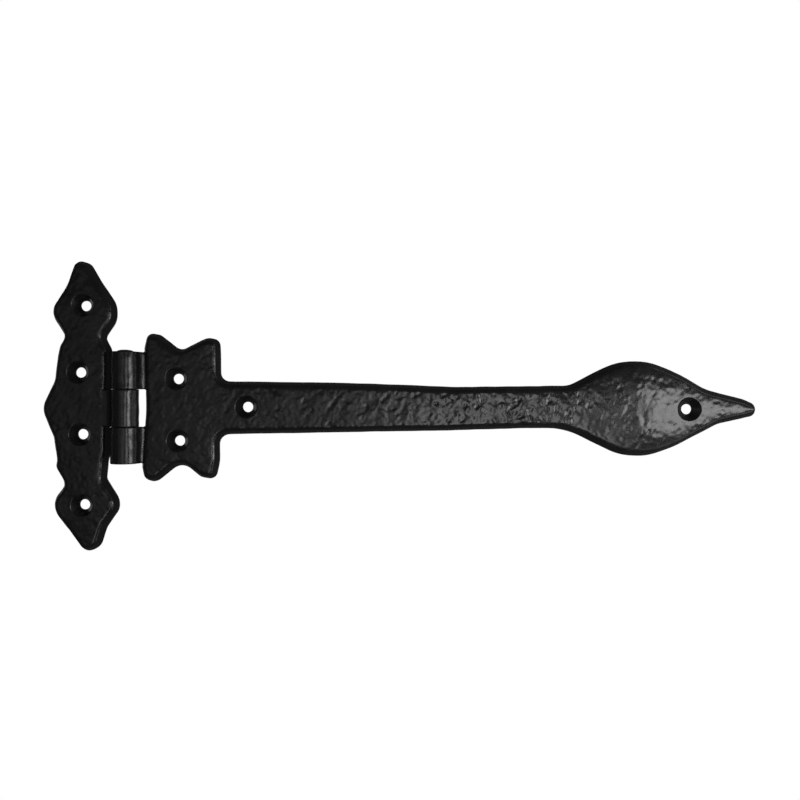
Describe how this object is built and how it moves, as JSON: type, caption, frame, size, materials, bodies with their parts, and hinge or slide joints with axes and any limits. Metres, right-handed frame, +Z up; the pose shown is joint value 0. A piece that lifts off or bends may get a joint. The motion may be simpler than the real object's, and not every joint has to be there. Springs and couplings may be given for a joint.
{
  "type": "tee hinge",
  "caption": "Black cast-iron tee hinge with an ornamental frame leaf, a long spearhead strap and countersunk screw holes, turning on a riveted pin.",
  "frame": {"origin": "on the plane of the leaves' flat backs, straight behind the pin, at the middle of the knuckles", "axes": "+Z up along the pin, +X along the strap, +Y into the door and its frame, so that the worked faces look towards -Y"},
  "size_m": [0.3051, 0.0114, 0.1238],
  "materials": {
    "black_iron": "satin black coating over a hammered iron casting",
    "black_pin": "satin black coating over a riveted steel pin"
  },
  "bodies": {
    "frame_side": {"frame_leaf": "black_iron"},
    "strap_side": {"strap_leaf": "black_iron", "hinge_pin": "black_pin"}
  },
  "joints": [
    {"name": "hinge_turn", "type": "hinge", "parent": "frame_side", "child": "strap_side", "pos_m": [0, -0.0055, 0], "axis": [0, 0, -1], "range_deg": [0, 180]}
  ]
}
